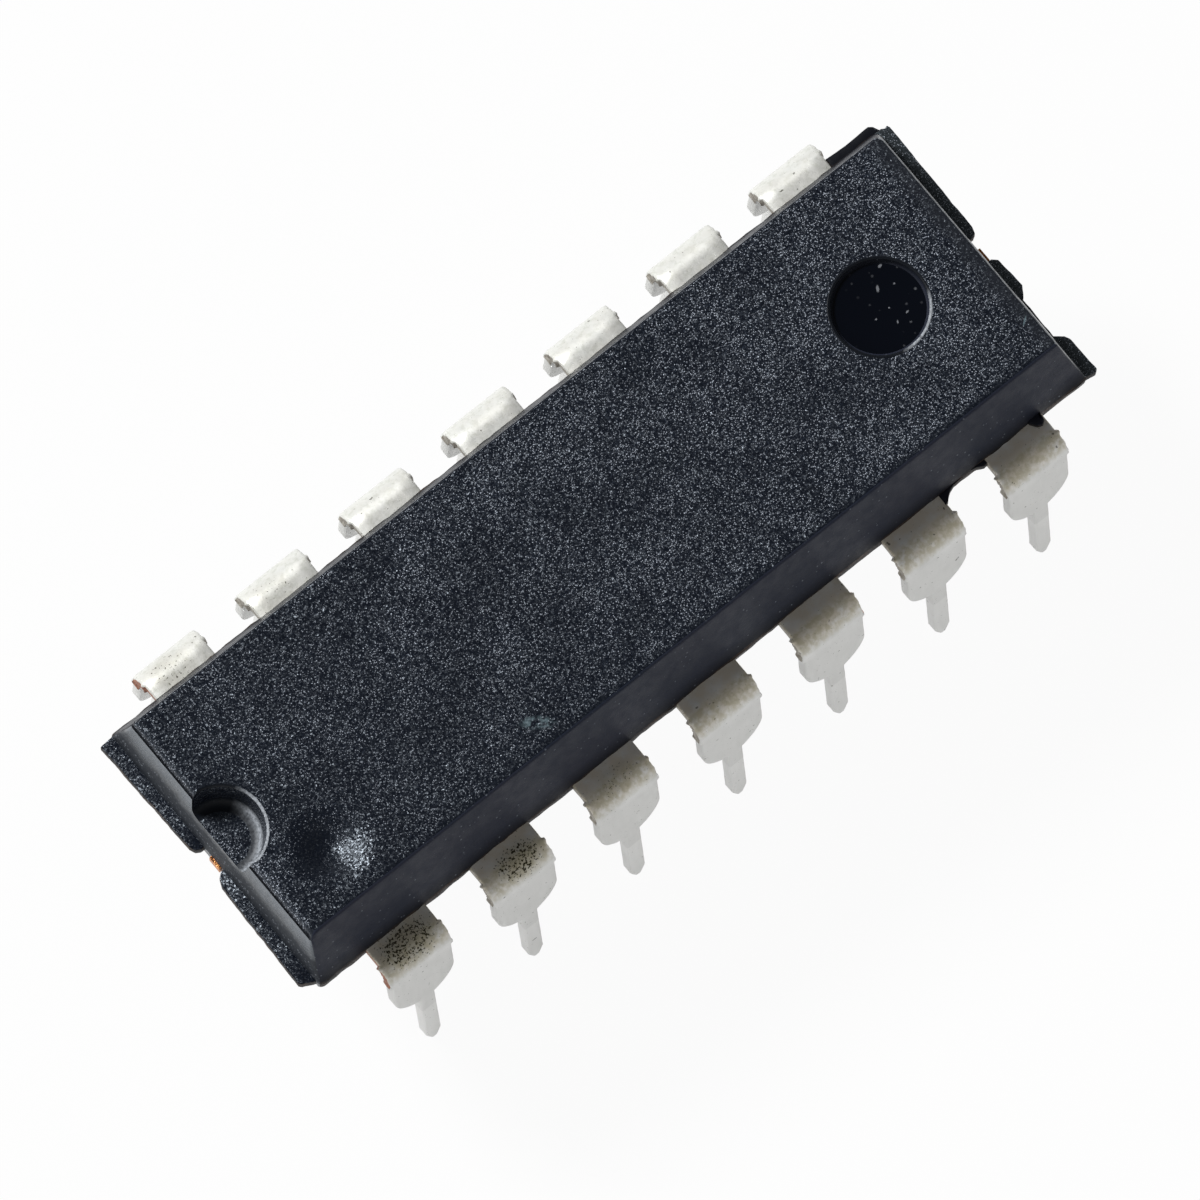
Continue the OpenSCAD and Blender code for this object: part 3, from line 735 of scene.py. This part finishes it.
def leg_half_width(z):
    """Half width of a lead at a height: round flanks down to the stem, then the pointed tip."""
    if z >= FLANK_Z:
        return SHOULDER_HALF
    flank = SHOULDER_HALF - FLANK_R + math.sqrt(max(0.0, FLANK_R ** 2 - (FLANK_Z - z) ** 2))
    stem = STEM_HALF if z > TIP_H else lerp(TIP_HALF, STEM_HALF, z / TIP_H)
    blend = 0.05
    high, low = max(flank, stem), min(flank, stem)
    return high + max(0.0, blend - (high - low)) ** 2 / (4 * blend)


def stations():
    """Along the outer face of a lead: place, outward direction, half width, bar flag and length so far."""
    rows = [(lerp(ROOT_U, BEND_U, k / 14), Z_PART, 0.0, 1.0) for k in range(14)]
    arc = math.pi / 2 - SPLAY
    for k in range(20):
        a = math.pi / 2 - arc * k / 20
        du, dz = math.cos(a), math.sin(a)
        rows.append((BEND_U + BEND_R * du, Z_PART - BEND_R + BEND_R * dz, du, dz))
    nu, nz = math.cos(SPLAY), math.sin(SPLAY)
    start = (BEND_U + BEND_R * nu, Z_PART - BEND_R + BEND_R * nz)
    heights = [start[1]]
    for low, step in ((3.6, 0.05), (2.6, 0.035), (0.34, 0.12), (0.0, 0.04)):
        high = heights[-1]
        n = max(1, round((high - low) / step))
        heights += [lerp(high, low, j / n) for j in range(1, n + 1)]
    rows += [(start[0] + (start[1] - z) * math.tan(SPLAY), z, nu, nz) for z in heights]
    out, run = [], 0.0
    for k, (u, z, du, dz) in enumerate(rows):
        if k:
            run += math.hypot(u - rows[k - 1][0], z - rows[k - 1][1])
        out.append((u, z, du, dz, leg_half_width(z), u > BAR_U and z > BAR_Z, run))
    return out


STATIONS = stations()
BAR_RUNS = [row[6] for row in STATIONS if row[5]]
ACROSS = (-1, -0.6, -0.2, 0.2, 0.6, 1)


def section(index, half, bar, run):
    """Section of a lead, as (across, depth below the outer face) round its edge."""
    ro, ri, t = 0.040, 0.02, SHEET

    def edge(side, depth):
        push = 0.004 * rough(run * 4, depth * 3, index + side * 7.7)
        if bar:
            push += 0.030 + 0.016 * rough(run * 7, depth * 9, index * 3.7 + side * 1.9, 4)
            push += 0.008 * rough(run * 31, depth * 14, index * 5.3 + side * 2.3, 2)
            if min(run - BAR_RUNS[0], BAR_RUNS[-1] - run) < 0.05:
                push += 0.022
        return side * (half + push)

    row = [(f * (half - ro), 0.0) for f in ACROSS]
    row += [(edge(1, ro) - 0.3 * ro, 0.3 * ro), (edge(1, ro), ro), (edge(1, t / 2), t / 2),
            (edge(1, t), t - ri), (edge(1, t) - 0.3 * ri, t - 0.3 * ri)]
    row += [(-f * (half - ri), t) for f in ACROSS]
    row += [(edge(-1, t) + 0.3 * ri, t - 0.3 * ri), (edge(-1, t), t - ri), (edge(-1, t / 2), t / 2),
            (edge(-1, ro), ro), (edge(-1, ro) + 0.3 * ro, 0.3 * ro)]
    return row


# Cut edges that the plating has left bare: lead and side of the lead seen from its row
BARE_EDGES = {(1, -1): RED_COPPER, (5, 1): COPPER, (7, 1): RED_COPPER, (14, -1): RED_COPPER}


def inner_finger(index, flip):
    """The part of a lead inside the moulding, cut from the CAD mesh."""
    mesh = NODES[f"lead_{index}"].data.copy()
    bm = bmesh.new()
    bm.from_mesh(mesh)
    everything = bm.verts[:] + bm.edges[:] + bm.faces[:]
    cut = bmesh.ops.bisect_plane(bm, geom=everything, dist=1e-7, plane_co=(0, flip * ROOT_U * MM, 0),
                                 plane_no=(0, flip, 0), clear_outer=True)
    bmesh.ops.edgeloop_fill(bm, edges=[e for e in cut["geom_cut"] if isinstance(e, bmesh.types.BMEdge)])
    for face in bm.faces:
        face.material_index = 0
    bm.to_mesh(mesh)
    bm.free()
    return mesh


def lead(index):
    front = index <= 7
    flip = -1 if front else 1
    centre = ((index if front else 15 - index) - 4) * PITCH
    verts = []
    for u, z, du, dz, half, bar, run in STATIONS:
        for x, depth in section(index, half, bar, run):
            verts.append((centre + x, flip * (u - du * depth), max(0.0, z - dz * depth)))
    count = len(verts) // len(STATIONS)
    materials = [TIN, CUT]
    slots = {1: 1, -1: 1}
    for (number, side), material in BARE_EDGES.items():
        if number == index:
            materials.append(material)
            slots[side] = len(materials) - 1
    faces, indices = [], []
    for j, k, face in tube_faces(len(STATIONS), count):
        side = 1 if 7 <= k <= 9 else -1 if 17 <= k <= 19 else 0
        high = STATIONS[j][1] > 4.55
        faces.append(face)
        indices.append(slots[side] if side and high else 0)
    last = len(verts) - count
    faces += [tuple(range(count)), tuple(last + k for k in range(count))]
    indices += [0, 0]
    obj = new_object(f"lead_{index}_outside", verts, faces, materials, indices)
    finger = inner_finger(index, flip)
    joined = bmesh.new()
    joined.from_mesh(obj.data)
    joined.from_mesh(finger)
    joined.to_mesh(obj.data)
    joined.free()
    bpy.data.meshes.remove(finger)
    smooth(obj, 42)
    return obj


# The part

for name, obj in NODES.items():
    material = TIN
    if name == "moulding":
        material = EPOXY[WEB]
    if name == "die_paddle":
        material = COPPER
    if name == "die_attach":
        material = ATTACH
    if name == "silicon_die":
        material = SILICON
    if name.startswith("bond_wire"):
        material = GOLD
    obj.data.materials.clear()
    obj.data.materials.append(material)

body = moulding()
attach(body, "root")
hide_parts("moulding")
for piece in resin_pieces() + [ejector_rim()]:
    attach(piece, "root")
for number in range(1, 15):
    piece = lead(number)
    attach(piece, "root")
    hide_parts(f"lead_{number}")


# Floor, light and camera

def floor():
    w = 3000
    verts = [(-w, -w, 0), (w, -w, 0), (w, w, 0), (-w, w, 0)]
    s = Shade("floor", {"Specular IOR Level": 0.1})
    tone = s.ramp(s.noise(40.0, 2.0), 0.3, 0.7, 0.89, 0.91)
    s.finish(s.node("CombineXYZ", None, {0: tone, 1: tone, 2: tone}).outputs[0], 0.9, s.bump(tone, 0.01))
    path = s.node("LightPath")
    rays = ("Is Camera Ray", "Is Glossy Ray", "Is Transmission Ray")
    factor = s.math("MULTIPLY", s.most(*(path.outputs[ray] for ray in rays)), 0.95)
    white = s.node("Emission", None, {"Color": (1, 1, 1, 1), "Strength": 1.0})
    mixed = s.node("MixShader", None, {0: factor, 1: s.surface.outputs[0], 2: white.outputs[0]})
    s.tree.links.new(mixed.outputs[0], s.out.inputs[0])
    new_object("floor", verts, [(0, 1, 2, 3)], [s.material], [0])


def world():
    """White at the horizon and toward the light, grey in front and at the left, and dark overhead."""
    made = bpy.data.worlds.new("studio")
    bpy.context.scene.world = made
    made.use_nodes = True
    t = Tree(made.node_tree)
    out = t.node("OutputWorld")
    x, y, z = t.node("SeparateXYZ", None, {0: t.node("TexCoord").outputs["Generated"]}).outputs

    def fill(axis, peak):
        """Light from the negative side of an axis, which fades out overhead."""
        return t.math("MULTIPLY", t.ramp(axis, -0.25, -0.60), t.ramp(z, 0.55, 0.90, peak, 0.0))

    horizon = t.ramp(z, 0.04, 0.20, 1.0, 0.0)
    glow = t.math("MULTIPLY", t.ramp(y, -0.25, 0.55), t.ramp(z, 0.25, 0.85, 0.40, 0.0))
    strength = t.most(horizon, glow, fill(y, 0.45), fill(x, 0.55), 0.07)
    light = t.node("Background", None, {"Color": (1, 1, 1, 1), "Strength": strength})
    t.tree.links.new(light.outputs[0], out.inputs[0])


def lamp(name, place, size, watts):
    """Square lamp that points at the part."""
    data = bpy.data.lights.new(name, "AREA")
    data.size = size
    data.energy = watts
    obj = bpy.data.objects.new(name, data)
    bpy.context.scene.collection.objects.link(obj)
    obj.location = place
    obj.rotation_euler = (-Vector(place)).to_track_quat("-Z", "Y").to_euler()


# The camera, in degrees, millimetres and pixels of a square picture
AZIMUTH = -39.25
ELEVATION = 75.66
DISTANCE = 387.2
TARGET_Z = 3.5
TARGET_DROP = 0.377
FOCAL_PIXELS = 20160.3
PICTURE_PIXELS = 1200
SENSOR = 36


def camera():
    azimuth, elevation = math.radians(AZIMUTH), math.radians(ELEVATION)
    flat = math.cos(elevation)
    back = Vector((math.sin(azimuth) * flat, -math.cos(azimuth) * flat, math.sin(elevation)))
    right = Vector((math.cos(azimuth), math.sin(azimuth), 0))
    up = back.cross(right)
    target = Vector((0, SHIFT, TARGET_Z)) - TARGET_DROP * up
    data = bpy.data.cameras.new("camera")
    data.sensor_width = SENSOR
    data.lens = FOCAL_PIXELS / PICTURE_PIXELS * SENSOR
    data.clip_start = 0.01
    data.clip_end = 20
    obj = bpy.data.objects.new("camera", data)
    bpy.context.scene.collection.objects.link(obj)
    axes = Matrix((right, up, back)).transposed()
    obj.matrix_world = Matrix.Translation((target + DISTANCE * back) * MM) @ axes.to_4x4()
    bpy.context.scene.camera = obj


floor()
world()
lamp("key", (-0.094, 0.230, 0.260), 0.080, 1.10)
camera()
bpy.context.scene.view_settings.view_transform = "Standard"
